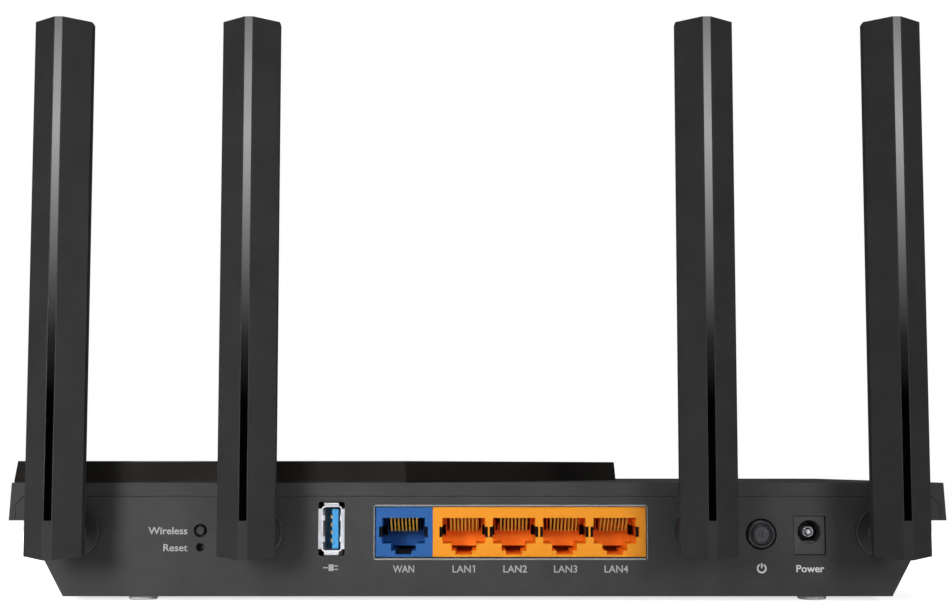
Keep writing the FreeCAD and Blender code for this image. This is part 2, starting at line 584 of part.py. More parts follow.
def jack_shield():
    """The folded metal screen round the sockets; its front edge shows above and below them."""
    left, right = "block_left + shield_gap", "block_right - shield_gap"
    width = (f"{right} - shield_sheet", f"{left} + shield_sheet")
    outer = box("screen_outer", width, ("block_back_y - shield_gap - shield_sheet", "shield_face_y"),
                ("board_top", "block_top + shield_gap + shield_sheet"))
    front = box("screen_front", width, ("board_rear_y + shield_gap", "shield_face_y"),
                ("shield_low", "block_top"))
    inner = box("screen_inner", (right, left), ("block_back_y - shield_gap", "shield_face_y + beyond"),
                ("shield_low + shield_sheet", "block_top + shield_gap"))
    depth = ("panel_y - wall - shield_gap", "shield_face_y + beyond")
    height = ("shield_low - beyond", "block_top + beyond")
    ends = [box("screen_end_left", (f"{left} - shield_trim", f"{left} + beyond"), depth, height),
            box("screen_end_right", (f"{right} - beyond", f"{right} + shield_trim"), depth, height)]
    node(cut("screen", fuse("screen_blank", [outer, front]), [inner] + ends), "jack_shield")


def usb_lip(tag, role, turn, run, length, wall_at, reach):
    """One flared lip of the usb mouth: a slanted sheet along one side of the tube."""
    body = doc.addObject("PartDesign::Body", "lip_" + tag)
    section = [(f"{turn} * ({wall_at} - usb_sheet)", "lip_root_y"), (f"{turn} * {wall_at}", "lip_root_y"),
               (f"{turn} * {reach}", "usb_face_y - lip_edge"), (f"{turn} * ({reach} - lip_edge)", "usb_face_y")]
    if role == "YZ_Plane":
        section = [(v, u) for u, v in section]
    pad(body, f"lip_{tag}_pad", outline(body, f"lip_{tag}_section", role, run, section), length)
    place(body, x="usb_x", z="usb_z")
    return body


def usb_socket():
    """The upright usb socket: folded steel shell with flared lips, coloured tongue, four contacts."""
    inner = ("usb_half - usb_sheet", "usb_tall_half - usb_sheet", "usb_corner - usb_sheet")
    tube = rounded("usb_tube", "usb_x", "usb_z", "usb_half", "usb_tall_half", "usb_corner",
                   ("usb_back_y", "usb_mouth_y"))
    legs = box("usb_legs", ("usb_x - usb_leg_half", "usb_x + usb_leg_half"), ("usb_leg_y", "usb_leg_end_y"),
               ("board_top", "usb_z - usb_tall_half + overlap"))
    room = rounded("usb_room", "usb_x", "usb_z", *inner, ("usb_back_y + usb_sheet", "usb_face_y + beyond"))
    lips = []
    springs = []
    for tag, turn in (("high", 1), ("low", -1)):
        lips.append(usb_lip("side_" + tag, "XY_Plane", turn, "-lip_side_half", "2 * lip_side_half", "usb_half",
                            "lip_side"))
        lips.append(usb_lip("end_" + tag, "YZ_Plane", turn, "-lip_end_half", "2 * lip_end_half",
                            "usb_tall_half", "lip_end"))
        for row in (-1, 1):
            wall = f"usb_x + {turn} * (usb_half - usb_sheet - spring_thick / 2)"
            height = f"usb_z + {row} * spring_z"
            springs.append(box(f"usb_spring_{tag}_{row + 1}",
                               (f"{wall} - spring_thick / 2 - overlap", f"{wall} + spring_thick / 2 + overlap"),
                               ("spring_y", "spring_tip_y"),
                               (f"{height} - spring_half", f"{height} + spring_half")))
    node(fuse("usb_housing", [cut("usb_sleeve", fuse("usb_blank", [tube, legs]), [room])] + lips + springs),
         "usb_shell")
    root = rounded("tongue_root", "usb_x", "usb_z", *inner, ("usb_back_y + usb_sheet", "tongue_root_y"))
    blade = box("tongue_blade", ("tongue_x - usb_tongue_half", "tongue_x + usb_tongue_half"),
                ("tongue_root_y - root", "tongue_tip_y"),
                ("usb_z - usb_tongue_tall_half", "usb_z + usb_tongue_tall_half"))
    node(fuse("tongue", [root, blade]), "usb_tongue")
    face = "tongue_x + usb_tongue_half"
    fingers = [box(f"usb_finger_{index}", (face, f"{face} + finger_thick"), ("tongue_root_y", "finger_tip_y"),
                   (f"usb_z + {turn} * {spot} - finger_half", f"usb_z + {turn} * {spot} + finger_half"))
               for index, (turn, spot) in enumerate(((-1, "finger_far"), (-1, "finger_near"),
                                                     (1, "finger_near"), (1, "finger_far")))]
    node(group("usb_fingers", fingers), "usb_contacts")


def power_inlet():
    """The round power inlet in its square housing, with a ledge in the bore and a ringed pin."""
    width = ("inlet_x - inlet_half", "inlet_x + inlet_half")
    nose = box("inlet_nose", width, ("board_rear_y - beyond", "inlet_face_y"), ("inlet_low", "inlet_top"))
    rear = box("inlet_rear", width, ("inlet_back_y", "board_rear_y"), ("board_top", "inlet_top"))
    bore = rod("inlet_bore_cut", "y", "inlet_x", "inlet_floor_y", "inlet_z", "inlet_bore",
               "inlet_face_y - inlet_floor_y + beyond")
    hollow = cut("inlet_hollow", fuse("inlet_blank", [nose, rear]), [bore])
    ledge = box("inlet_ledge", ("inlet_x - ledge_half", "inlet_x + ledge_half"),
                ("inlet_floor_y - root", "ledge_y"), ("inlet_z - inlet_bore - root", "inlet_z - ledge_drop"))
    node(fuse("inlet_housing", [hollow, ledge]), "power_inlet")
    collar = ring("pin_collar", "y", "inlet_x", "inlet_floor_y", "inlet_z", "inlet_ring", "inlet_ring_bore",
                  "inlet_ring_y - inlet_floor_y")
    foot = rod("pin_foot", "y", "inlet_x", "inlet_floor_y", "inlet_z", "inlet_ring", "root")
    pin = rod("pin_rod", "y", "inlet_x", "inlet_floor_y", "inlet_z", "inlet_pin_radius",
              "inlet_pin_y - inlet_floor_y")
    node(fuse("pin", [collar, foot, pin]), "power_inlet_pin")


# ---------------------------------------------------------------- switches and buttons
def switches():
    """The latching power switch and the two small tact switches."""
    node(box("switch_block", ("power_x - switch_half", "power_x + switch_half"), ("switch_y", "switch_face_y"),
             ("board_top", "power_z + switch_half")), "power_switch")
    width = ("wps_x - tact_half", "wps_x + tact_half")
    back = box("tact_back", width, ("tact_y - wall", "tact_y + overlap"),
               ("board_top", "wps_z + tact_tall_half"))
    upper = box("tact_upper", width, ("tact_y", "tact_face_y"),
                ("wps_z - tact_tall_half", "wps_z + tact_tall_half"))
    lower = box("tact_lower", width, ("tact_y", "tact_face_y"), ("board_top", "reset_z + tact_tall_half"))
    domes = [rod("tact_dome_" + tag, "y", "wps_x", "tact_face_y - overlap", z, "dome_radius",
                 "dome_tip_y - tact_face_y + overlap") for tag, z in (("a", "wps_z"), ("b", "reset_z"))]
    node(fuse("tacts", [back, upper, lower] + domes), "tact_switches")


def power_button():
    """The round power button: a cap with a ring groove, and its stem."""
    cap = rod("power_cap", "y", "power_x", "power_back_y", "power_z", "power_radius",
              "power_face_y - power_back_y")
    stem = rod("power_stem_rod", "y", "power_x", "power_stem_y", "power_z", "power_stem",
               "power_back_y - power_stem_y + overlap")
    groove = ring("power_groove", "y", "power_x", "power_face_y - power_ring_deep", "power_z", "power_ring",
                  "power_ring_bore", "power_ring_deep + beyond")
    node(cut("power_cap_finished", fuse("power_blank", [cap, stem]), [groove]), "power_button")


def small_button(label, z, radius, face_y, flange):
    """A pin button with a flange that holds it behind the panel."""
    stem = rod(label + "_stem", "y", "wps_x", "tail_y", z, radius, f"{face_y} - tail_y")
    collar = rod(label + "_collar", "y", "wps_x", "flange_y", z, flange, "flange_thick")
    node(fuse(label + "_blank", [stem, collar]), label)


# ---------------------------------------------------------------- antennas
def knuckle(tag, x):
    """The swivel hub: dished panel disc, grooved shaft, neck and the tongue with its pin bore."""
    shaft = rod("shaft_" + tag, "y", x, "shaft_tip_y", "hub_z", "shaft_radius",
                "panel_y - shaft_tip_y + root")
    disc = rod("disc_" + tag, "y", x, "panel_y + hub_gap", "hub_z", "hub_radius",
               "hub_face_y - panel_y - hub_gap")
    neck = rod("neck_" + tag, "y", x, "hub_face_y - root", "hub_z", "neck_radius",
               "neck_end_y - hub_face_y + root")
    tongue = box("tongue_" + tag, (f"{x} - tongue_half", f"{x} + tongue_half"), ("neck_end_y - root", "tilt_y"),
                 ("hub_z - eye_radius", "hub_z + eye_radius"))
    eye = rod("eye_" + tag, "x", f"{x} - tongue_half", "tilt_y", "hub_z", "eye_radius", "2 * tongue_half")
    dish = ring("dish_" + tag, "y", x, "hub_face_y - hub_dish", "hub_z", "hub_radius - hub_rim", "neck_radius",
                "hub_dish + beyond")
    groove = ring("groove_" + tag, "y", x, "clip_low_y", "hub_z", "shaft_radius + beyond", "clip_groove",
                  "clip_high_y - clip_low_y")
    bore = rod("pin_bore_" + tag, "x", f"{x} - tongue_half - beyond", "tilt_y", "hub_z",
               "tilt_pin_radius + tilt_pin_gap", "2 * tongue_half + 2 * beyond")
    lead = rod("lead_bore_" + tag, "y", x, "shaft_tip_y - beyond", "hub_z", "lead_bore",
               "neck_end_y - shaft_tip_y - beyond")
    blank = fuse("knuckle_blank_" + tag, [shaft, disc, neck, tongue, eye])
    node(cut("knuckle_" + tag, blank, [dish, groove, bore, lead]), f"antenna_{tag}_knuckle")


def clip(tag, x):
    """The split ring that holds the swivel shaft behind the panel."""
    band = ring("clip_ring_" + tag, "y", x, "clip_low_y", "hub_z", "clip_radius", "clip_groove",
                "clip_high_y - clip_low_y")
    gap = box("clip_gap_" + tag, (f"{x} - clip_gap_half", f"{x} + clip_gap_half"),
              ("clip_low_y - beyond", "clip_high_y + beyond"), ("hub_z - clip_radius - beyond", "hub_z"))
    node(cut("clip_" + tag, band, [gap]), f"antenna_{tag}_clip")


def blade_slot(body, tag):
    """The slot for the knuckle's tongue, open to the case side and the lower end."""
    slot = outline(body, "slot_" + tag, "XY_Plane", "blade_toe - beyond",
                   block_outline(("-slot_half", "slot_half"), ("blade_front_y - beyond", "slot_deep_y")))
    pocket(body, "slot_cut_" + tag, slot, "hub_z + slot_rise - blade_toe + beyond")


def mirrored(points):
    """The same points on the other side of x = 0, in reverse order."""
    return [(f"-({u})", v) for u, v in reversed(points)]


def rear_shell(tag, x):
    """The ridged outer half of an antenna, hollow, with two ears for the tilt pin."""
    body = doc.addObject("PartDesign::Body", "rear_half_" + tag)
    half = [("ridge_half", "ridge_y"), ("blade_facet_half", "blade_facet_y"), ("blade_half", "blade_edge_y"),
            ("blade_half", "blade_seam_y")]
    section = outline(body, "ridge_section_" + tag, "XY_Plane", "blade_toe", half + mirrored(half))
    pad(body, "ridge_pad_" + tag, section, "blade_top - blade_toe")
    room = [("room_ridge_half", "ridge_y - room_ridge_wall"),
            ("blade_facet_half - room_facet_inset", "blade_facet_y - room_facet_wall"),
            ("blade_facet_half - room_seam_inset", "blade_seam_y")]
    hollow = outline(body, "hollow_" + tag, "XY_Plane", "room_low", room + mirrored(room))
    pocket(body, "hollow_cut_" + tag, hollow, "blade_top - room_low - tip_wall")
    groove = outline(body, "strip_groove_" + tag, "XY_Plane", "strip_low",
                     block_outline(("-strip_half", "strip_half"), ("ridge_y - strip_deep", "ridge_y + beyond")))
    pocket(body, "strip_cut_" + tag, groove, "blade_top - strip_low + beyond")
    toe = outline(body, "toe_" + tag, "YZ_Plane", 0, [
        ("blade_seam_y - beyond", "blade_toe - beyond"), ("ridge_y + beyond", "blade_toe - beyond"),
        ("ridge_y + beyond", "blade_toe"), ("ridge_y", "blade_toe"), ("blade_facet_y", "blade_heel"),
        ("blade_seam_y - beyond", "blade_heel")])
    pocket(body, "toe_cut_" + tag, toe, "4 * blade_half", middle=True)
    blade_slot(body, tag + "_rear")
    place(body, x)
    pin_way = rod("ear_bore_" + tag, "x", f"{x} - blade_half - beyond", "tilt_y", "hub_z", "tilt_pin_radius",
                  "2 * blade_half + 2 * beyond")
    node(cut("ridge_" + tag, body, [pin_way]), f"antenna_{tag}_rear_shell")


def front_shell(tag, x):
    """The flat case-side half of an antenna."""
    body = doc.addObject("PartDesign::Body", "front_half_" + tag)
    half = [("blade_half", "blade_seam_y - shell_gap"), ("blade_half", "blade_front_y + blade_chamfer"),
            ("blade_half - blade_chamfer", "blade_front_y")]
    section = outline(body, "flat_section_" + tag, "XY_Plane", "blade_heel", half + mirrored(half))
    pad(body, "flat_pad_" + tag, section, "blade_top - blade_heel")
    blade_slot(body, tag + "_front")
    place(body, x)
    node(body, f"antenna_{tag}_front_shell")


def antenna_inserts(tag, x):
    """The gloss strip in the ridge, the radiator board and the tilt pin."""
    strip = box("strip_" + tag, (f"{x} - strip_half + strip_gap", f"{x} + strip_half - strip_gap"),
                ("ridge_y - strip_deep + strip_gap", "ridge_y"), ("strip_low + strip_gap", "blade_top"))
    node(strip, f"antenna_{tag}_strip")
    board = box("radiator_" + tag, (f"{x} - radiator_half", f"{x} + radiator_half"),
                ("blade_seam_y", "blade_seam_y + radiator_thick"),
                ("radiator_low", "blade_top - radiator_top_gap"))
    node(board, f"antenna_{tag}_radiator")
    pin = rod("tilt_pin_" + tag, "x", f"{x} - tilt_pin_half", "tilt_y", "hub_z", "tilt_pin_radius",
              "2 * tilt_pin_half")
    node(pin, f"antenna_{tag}_pin")


def lead_route(x_hub, x_plug):
    """A lead from behind a swivel shaft down to its plug on the board, as runs joined by arcs."""
    vector = FreeCAD.Vector
    hub = vector(x_hub, number("shaft_tip_y - lead_set_back"), number("hub_z"))
    turn_y = hub.y - number("lead_turn")
    inward = math.copysign(1.0, x_plug - x_hub)
    bend, drop = number("lead_bend"), number("lead_drop")
    bend_middle, drop_middle = (radius * (1 - math.sqrt(0.5)) for radius in (bend, drop))
    sideways = [vector(x_hub, turn_y + bend, hub.z),
                vector(x_hub + inward * bend_middle, turn_y + bend_middle, hub.z),
                vector(x_hub + inward * bend, turn_y, hub.z)]
    downwards = [vector(x_plug - inward * drop, turn_y, hub.z),
                 vector(x_plug - inward * drop_middle, turn_y, hub.z - drop_middle),
                 vector(x_plug, turn_y, hub.z - drop)]
    end = vector(x_plug, turn_y, number("board_top + plug_tall - overlap"))
    edges = [Part.LineSegment(hub, sideways[0]), Part.Arc(*sideways),
             Part.LineSegment(sideways[2], downwards[0]), Part.Arc(*downwards),
             Part.LineSegment(downwards[2], end)]
    return Part.Wire([edge.toShape() for edge in edges])


def antenna_leads():
    """Four coaxial leads inside the case, one from each swivel, each with its round plug."""
    leads = []
    shifts = ("-outer_plug", "-inner_plug", "inner_plug", "outer_plug")
    for (tag, x), shift in zip(DISC_SPOTS, shifts):
        x_plug = number(f"{x} + {shift}")
        route = lead_route(number(x), x_plug)
        section = Part.Wire(Part.makeCircle(number("lead_radius"), route.OrderedVertexes[0].Point,
                                            FreeCAD.Vector(0, -1, 0)))
        tube = route.makePipeShell([section], True, True)
        spot = FreeCAD.Vector(x_plug, route.OrderedVertexes[-1].Point.y, number("board_top"))
        plug = Part.makeCylinder(number("plug_radius"), number("plug_tall"), spot)
        leads.append(tube.fuse(plug).removeSplitter())
    made = doc.addObject("Part::Feature", "leads")
    made.Shape = Part.makeCompound(leads)
    made.Placement = FreeCAD.Placement()
    node(made, "antenna_leads")


# ---------------------------------------------------------------- assembly
def build():
    """Make every piece of the router."""
    bottom_case()
    top_cover()
    gloss_panel()
    case_fittings()
    status_lights()
    main_board()
    cooling()
    board_parts()
    network_sockets()
    jack_shield()
    usb_socket()
    power_inlet()
    switches()
    power_button()
    small_button("wps_button", "wps_z", "wps_radius", "wps_face_y", "wps_flange")
    small_button("reset_button", "reset_z", "reset_radius", "reset_face_y", "reset_flange")
    for tag, x in DISC_SPOTS:
        knuckle(tag, x)
        clip(tag, x)
        rear_shell(tag, x)
        front_shell(tag, x)
        antenna_inserts(tag, x)
    antenna_leads()


def check_and_export():
    """Refuse a failed feature or a bad solid, then write one file for each piece."""
    doc.recompute()
    for item in doc.Objects:
        if "Invalid" in item.State or "Error" in item.State:
            raise RuntimeError(f"{item.Name} failed: {item.State}")
    os.makedirs("parts", exist_ok=True)
    for item in nodes:
        shape = item.Shape
        if shape.isNull() or not shape.isValid() or not shape.Solids:
            raise RuntimeError(f"{item.Label} has no valid solid")
        shape.exportStep(f"parts/{item.Label}.step")
        print(f"{item.Label:26} {len(shape.Solids):3} solids {shape.Volume:10.1f} mm3")


build()
check_and_export()
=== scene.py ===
"""Looks of the wireless router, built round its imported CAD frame.  Metres, +Z up, panel towards +Y."""
import bpy
import bmesh
import math
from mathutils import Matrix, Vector


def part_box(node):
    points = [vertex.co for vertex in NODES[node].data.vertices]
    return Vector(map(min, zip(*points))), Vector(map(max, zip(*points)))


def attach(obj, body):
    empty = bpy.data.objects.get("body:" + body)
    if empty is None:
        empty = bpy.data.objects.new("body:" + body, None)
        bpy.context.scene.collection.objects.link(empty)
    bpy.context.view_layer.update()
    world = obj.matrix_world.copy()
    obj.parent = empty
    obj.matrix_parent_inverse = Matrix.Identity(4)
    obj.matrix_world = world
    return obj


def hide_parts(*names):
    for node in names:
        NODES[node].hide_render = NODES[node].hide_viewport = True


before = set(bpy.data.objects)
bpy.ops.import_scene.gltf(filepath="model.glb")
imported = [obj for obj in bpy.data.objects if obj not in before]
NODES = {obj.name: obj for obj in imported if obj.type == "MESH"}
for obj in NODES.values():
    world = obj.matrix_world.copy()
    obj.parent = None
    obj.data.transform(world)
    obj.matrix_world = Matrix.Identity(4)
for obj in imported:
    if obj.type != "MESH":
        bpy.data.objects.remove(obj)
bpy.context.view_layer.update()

MM = 0.001
PANEL_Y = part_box("bottom_case")[1].y


# ---------------------------------------------------------------- materials
class Graph:
    """A short way to build one node material."""

    def __init__(self, name):
        self.material = bpy.data.materials.new(name)
        self.material.use_nodes = True
        self.tree = self.material.node_tree
        self.shader = self.tree.nodes["Principled BSDF"]
        self.place = self.add("ShaderNodeTexCoord").outputs["Object"]

    def add(self, kind, **values):
        """A new node with its plain settings."""
        made = self.tree.nodes.new(kind)
        for key, value in values.items():
            setattr(made, key, value)
        return made

    def link(self, source, target):
        """Join an output to an input."""
        self.tree.links.new(source, target)

    def set(self, **values):
        """Constants on the shader's own sockets, named with underscores."""
        for key, value in values.items():
            self.shader.inputs[key.replace("_", " ")].default_value = value

    def noise(self, size, detail=3.0, rough=0.55, stretch=(1, 1, 1)):
        """Noise whose features are about size metres across."""
        mapping = self.add("ShaderNodeMapping")
        mapping.inputs["Scale"].default_value = stretch
        self.link(self.place, mapping.inputs["Vector"])
        made = self.add("ShaderNodeTexNoise")
        made.inputs["Scale"].default_value = 1 / size
        made.inputs["Detail"].default_value = detail
        made.inputs["Roughness"].default_value = rough
        self.link(mapping.outputs["Vector"], made.inputs["Vector"])
        return made.outputs["Fac"]

    def ramp(self, source, low, high, start=0.3, end=0.7):
        """Two colours or greys blended over part of a texture's range."""
        made = self.add("ShaderNodeValToRGB")
        made.color_ramp.elements[0].position = start
        made.color_ramp.elements[1].position = end
        made.color_ramp.elements[0].color = colour(low)
        made.color_ramp.elements[1].color = colour(high)
        self.link(source, made.inputs["Fac"])
        return made.outputs["Color"]

    def paint(self, low, high, size, **options):
        """Base colour that drifts between two close tones."""
        self.link(self.ramp(self.noise(size, **options), low, high), self.shader.inputs["Base Color"])

    def sheen_map(self, low, high, size, **options):
        """Roughness that drifts between two values."""
        self.link(self.ramp(self.noise(size, **options), low, high), self.shader.inputs["Roughness"])

    def bump(self, source, height, strength=1.0):
        """Fine relief from a texture; bumps given later sit on the earlier ones."""
        made = self.add("ShaderNodeBump")
        made.inputs["Distance"].default_value = height
        made.inputs["Strength"].default_value = strength
        self.link(source, made.inputs["Height"])
        if self.shader.inputs["Normal"].is_linked:
            self.link(self.shader.inputs["Normal"].links[0].from_socket, made.inputs["Normal"])
        self.link(made.outputs["Normal"], self.shader.inputs["Normal"])


def colour(value):
    """A grey number or a colour as four channels."""
    if isinstance(value, (int, float)):
        value = (value, value, value)
    return (*value, 1.0)


def moulded(name, tone, rough, grain=0.35 * MM, relief=0.02 * MM, spread=0.12, **sockets):
    """Textured injection-moulded plastic: grainy relief and slightly uneven tone and gloss."""
    made = Graph(name)
    low = tuple(channel * (1 - spread) for channel in tone)
    high = tuple(channel * (1 + spread) for channel in tone)
    made.paint(low, high, 9 * MM, detail=6.0)
    made.sheen_map(rough - 0.05, rough + 0.05, 3 * MM)
    made.bump(made.noise(grain, detail=2.0), relief)
    made.set(**sockets)
    return made.material


def polished(name, tone, rough, **sockets):
    """Smooth gloss plastic with faint long-wave unevenness and handling haze."""
    made = Graph(name)
    made.paint(tuple(channel * 0.85 for channel in tone), tuple(channel * 1.15 for channel in tone), 20 * MM)
    made.sheen_map(rough * 0.7, rough * 1.3, 12 * MM, detail=5.0)
    made.bump(made.noise(14 * MM, detail=1.0), 0.004 * MM)
    made.set(**sockets)
    return made.material


def metal(name, tone, rough, stretch=(1, 14, 1), grain=0.5 * MM, relief=0.004 * MM, shine=1.0):
    """Plated or brushed metal with fine drawn lines; a low shine stands for a dull, scattering plating."""
    made = Graph(name)
    made.paint(tuple(channel * 0.85 for channel in tone), tone, 4 * MM)
    lines = made.noise(grain, detail=3.0, stretch=stretch)
    made.link(made.ramp(lines, rough - 0.08, rough + 0.1), made.shader.inputs["Roughness"])
    made.bump(lines, relief)
    made.set(Metallic=shine)
    return made.material


def socket_plastic(name, rim, well):
    """Jack plastic: a satin front rim, and a clearer tone in the moulded wells behind it."""
    made = Graph(name)
    parts = made.add("ShaderNodeSeparateXYZ")
    made.link(made.place, parts.inputs[0])
    depth = made.add("ShaderNodeMapRange")
    depth.inputs["From Min"].default_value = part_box("wan_jack")[1].y - 0.5 * MM
    depth.inputs["From Max"].default_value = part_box("wan_jack")[1].y - 0.2 * MM
    made.link(parts.outputs["Y"], depth.inputs["Value"])
    made.link(made.ramp(depth.outputs["Result"], well, rim, 0.0, 1.0), made.shader.inputs["Base Color"])
    made.sheen_map(0.45, 0.55, 3 * MM)
    made.bump(made.noise(0.5 * MM, detail=2.0), 0.006 * MM)
    made.set(Specular_IOR_Level=0.2)
    return made.material


CASE = moulded("case plastic", (0.031, 0.031, 0.0313), 0.62, Specular_IOR_Level=0.2)
# About half the case plastic's tone: painted shade that keeps the blades darker than the panel under the same
# light.
SHADED_BLADE = moulded("antenna plastic painted shade", (0.0175, 0.0175, 0.0177), 0.6, Specular_IOR_Level=0.2)
HUB = moulded("hub plastic", (0.02, 0.02, 0.0202), 0.36, grain=0.25 * MM, relief=0.008 * MM)
# A lighter copy of the antenna plastic for the blades' rounded edges: a painted highlight along them.
EDGE_HIGHLIGHT = moulded("antenna painted edge highlight", (0.055, 0.055, 0.0555), 0.5, Specular_IOR_Level=0.3)
# A lighter copy of the hub plastic for the hubs' rounded rims: a painted highlight round each disc.
RIM_HIGHLIGHT = moulded("hub painted rim highlight", (0.085, 0.085, 0.086), 0.4, Specular_IOR_Level=0.3)
STRIP = polished("strip gloss", (0.0004, 0.0004, 0.0004), 0.03, Coat_Weight=1.0, Coat_Roughness=0.03, IOR=1.8)
CROWN = polished("crown gloss", (0.0095, 0.0086, 0.0078), 0.16, Coat_Weight=0.35)
RUBBER = moulded("foot rubber", (0.5, 0.5, 0.5), 0.6, grain=0.6 * MM)
SCREW = metal("zinc screw", (0.5, 0.5, 0.52), 0.32, stretch=(1, 1, 1))
TIN = metal("tin plate", (0.5, 0.5, 0.5), 0.3)
LIP = metal("usb steel", (0.78, 0.77, 0.79), 0.3, shine=0.35)
GOLD = metal("gold plate", (0.5, 0.27, 0.035), 0.35, stretch=(1, 6, 1), shine=0.12)
STEEL = metal("pin steel", (0.45, 0.45, 0.46), 0.28, stretch=(8, 1, 1))
BARREL = metal("inlet steel", (0.7, 0.7, 0.74), 0.22, stretch=(1, 1, 1), shine=0.6)
ALUMINIUM = metal("sink aluminium", (0.78, 0.78, 0.8), 0.34)
BLUE = socket_plastic("uplink blue", (0.0125, 0.07, 0.225), (0.012, 0.075, 0.29))
ORANGE = socket_plastic("network orange", (0.56, 0.2, 0.0095), (0.95, 0.24, 0.012))
USB_BLUE = moulded("usb blue", (0.02, 0.19, 0.4), 0.35, grain=0.5 * MM, relief=0.006 * MM, spread=0.06)
INLET = moulded("inlet plastic", (0.024, 0.024, 0.0245), 0.4, grain=0.3 * MM)
BUTTON = moulded("button satin", (0.022, 0.022, 0.026), 0.28, grain=0.3 * MM, relief=0.003 * MM,
                 Specular_IOR_Level=0.8)
EPOXY = moulded("chip epoxy", (0.02, 0.02, 0.022), 0.6)
SATIN = moulded("small button", (0.018, 0.016, 0.018), 0.4, grain=0.3 * MM, relief=0.003 * MM)
# Light grey for the ring round the socket window: a painted highlight.
WINDOW_HIGHLIGHT = moulded("painted window highlight", (0.3, 0.3, 0.3), 0.4, grain=0.5 * MM, relief=0.004 * MM)
# Black and dark tinted sheets for the socket block's notches, slots and back: painted shade.
SHADE_BLACK = moulded("painted shade black", (0.004, 0.004, 0.004), 0.7, Specular_IOR_Level=0.1)
SHADE_BLUE = moulded("painted shade blue", (0.008, 0.04, 0.14), 0.6, Specular_IOR_Level=0.1)
SHADE_ORANGE = moulded("painted shade orange", (0.55, 0.13, 0.008), 0.6, Specular_IOR_Level=0.1)
BOARD = moulded("solder mask", (0.02, 0.11, 0.05), 0.35, grain=1.2 * MM, spread=0.4)
PAD = moulded("thermal pad", (0.4, 0.43, 0.45), 0.8)
SLEEVE = polished("capacitor sleeve", (0.05, 0.07, 0.16), 0.3)
JACKET = moulded("lead jacket", (0.1, 0.1, 0.1), 0.55)
LENS = polished("light lens", (0.62, 0.66, 0.7), 0.25)
LAMP = moulded("light chip", (0.8, 0.8, 0.7), 0.4)
INK = moulded("label ink", (0.25, 0.25, 0.25), 0.6, grain=0.12 * MM, relief=0.004 * MM, spread=0.08)
INK_LIGHT = moulded("light ink", (0.46, 0.46, 0.46), 0.6, grain=0.12 * MM, relief=0.004 * MM, spread=0.08)


# ---------------------------------------------------------------- mesh helpers
def piece(name, mesh, body, material, replaces=()):
    """Put a finished mesh in the scene as a piece that rides on a body."""
    made = bpy.data.objects.new(name, mesh)
    bpy.context.scene.collection.objects.link(made)
    mesh.materials.clear()
    mesh.materials.append(material)
    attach(made, body)
    if replaces:
        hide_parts(*replaces)
    return made


def shade(mesh, angle=32):
    """Smooth shading with crisp edges above an angle."""
    mesh.shade_smooth()
    mesh.set_sharp_from_angle(angle=math.radians(angle))


def refined(node, body, material, width, segments=2, angle=30, edge=None):
    """A CAD piece remade with whole flat faces and rounded edges; an edge material given puts a lighter tone
    on the rounded edges, a painted highlight.
    """
    bm = bmesh.new()
    bm.from_mesh(NODES[node].data)
    bmesh.ops.remove_doubles(bm, verts=bm.verts, dist=0.002 * MM)
    bmesh.ops.dissolve_limit(bm, angle_limit=math.radians(0.5), verts=bm.verts, edges=bm.edges)
    mesh = bpy.data.meshes.new(node + "_finished")
    bm.to_mesh(mesh)
    bm.free()
    shade(mesh, angle)
    made = piece(node + "_finished", mesh, body, material, (node,))
    rounding = made.modifiers.new("rounded edges", "BEVEL")
    rounding.width = width
    rounding.segments = segments
    rounding.limit_method = "ANGLE"
    rounding.angle_limit = math.radians(angle)
    rounding.harden_normals = True
    if edge:
        mesh.materials.append(edge)
        rounding.material = 1
    return made


def coat(material, *names):
    """Give CAD pieces that keep their own shape a material."""
    for name in names:
        mesh = NODES[name].data
        mesh.materials.clear()
        mesh.materials.append(material)
        shade(mesh)


def finished(bm, name):
    """A mesh from bmesh work, with its faces turned outwards."""
    bmesh.ops.recalc_face_normals(bm, faces=bm.faces)
    mesh = bpy.data.meshes.new(name)
    bm.to_mesh(mesh)
    bm.free()
    return mesh


def lathe(bm, profile, centre, axis="y", segments=72):
    """Turn a profile of (radius, height) points, in mm, about a line through a point."""
    rings = []
    for radius, height in profile:
        count = segments if radius else 1
        ring = []
        for index in range(count):
            angle = 2 * math.pi * index / count
            across = Vector((math.cos(angle), math.sin(angle))) * radius * MM
            offset = (across.x, height * MM, across.y) if axis == "y" else (across.x, across.y, height * MM)
            ring.append(bm.verts.new(Vector(centre) + Vector(offset)))
        rings.append(ring)
    for first, second in zip(rings, rings[1:]):
        for index in range(segments):
            corners = [first[index % len(first)], first[(index + 1) % len(first)],
                       second[(index + 1) % len(second)], second[index % len(second)]]
            bm.faces.new(list(dict.fromkeys(corners)))


def prism(bm, outline, low, high):
    """Extrude a closed outline in the panel's plane, of (x, z) points, between two values of y."""
    back = [bm.verts.new((x, low, z)) for x, z in outline]
    front = [bm.verts.new((x, high, z)) for x, z in outline]
    bm.faces.new(back)
    bm.faces.new(front)
    for index in range(len(outline)):
        follower = (index + 1) % len(outline)
        bm.faces.new((back[index], back[follower], front[follower], front[index]))


def block(bm, x, y, z):
    """A plain block between pairs of low and high values."""
    prism(bm, [(x[0], z[0]), (x[1], z[0]), (x[1], z[1]), (x[0], z[1])], y[0], y[1])


def rounded_corners(x, z, radius, steps=6):
    """The outline of a rectangle between pairs of low and high values, with round corners."""
    points = []
    for corner, (across, up) in enumerate(((1, 1), (0, 1), (0, 0), (1, 0))):
        centre = (x[across] + (radius, -radius)[across], z[up] + (radius, -radius)[up])
        for step in range(steps + 1):
            angle = math.pi / 2 * (corner + step / steps)
            points.append((centre[0] + radius * math.cos(angle), centre[1] + radius * math.sin(angle)))
    return points


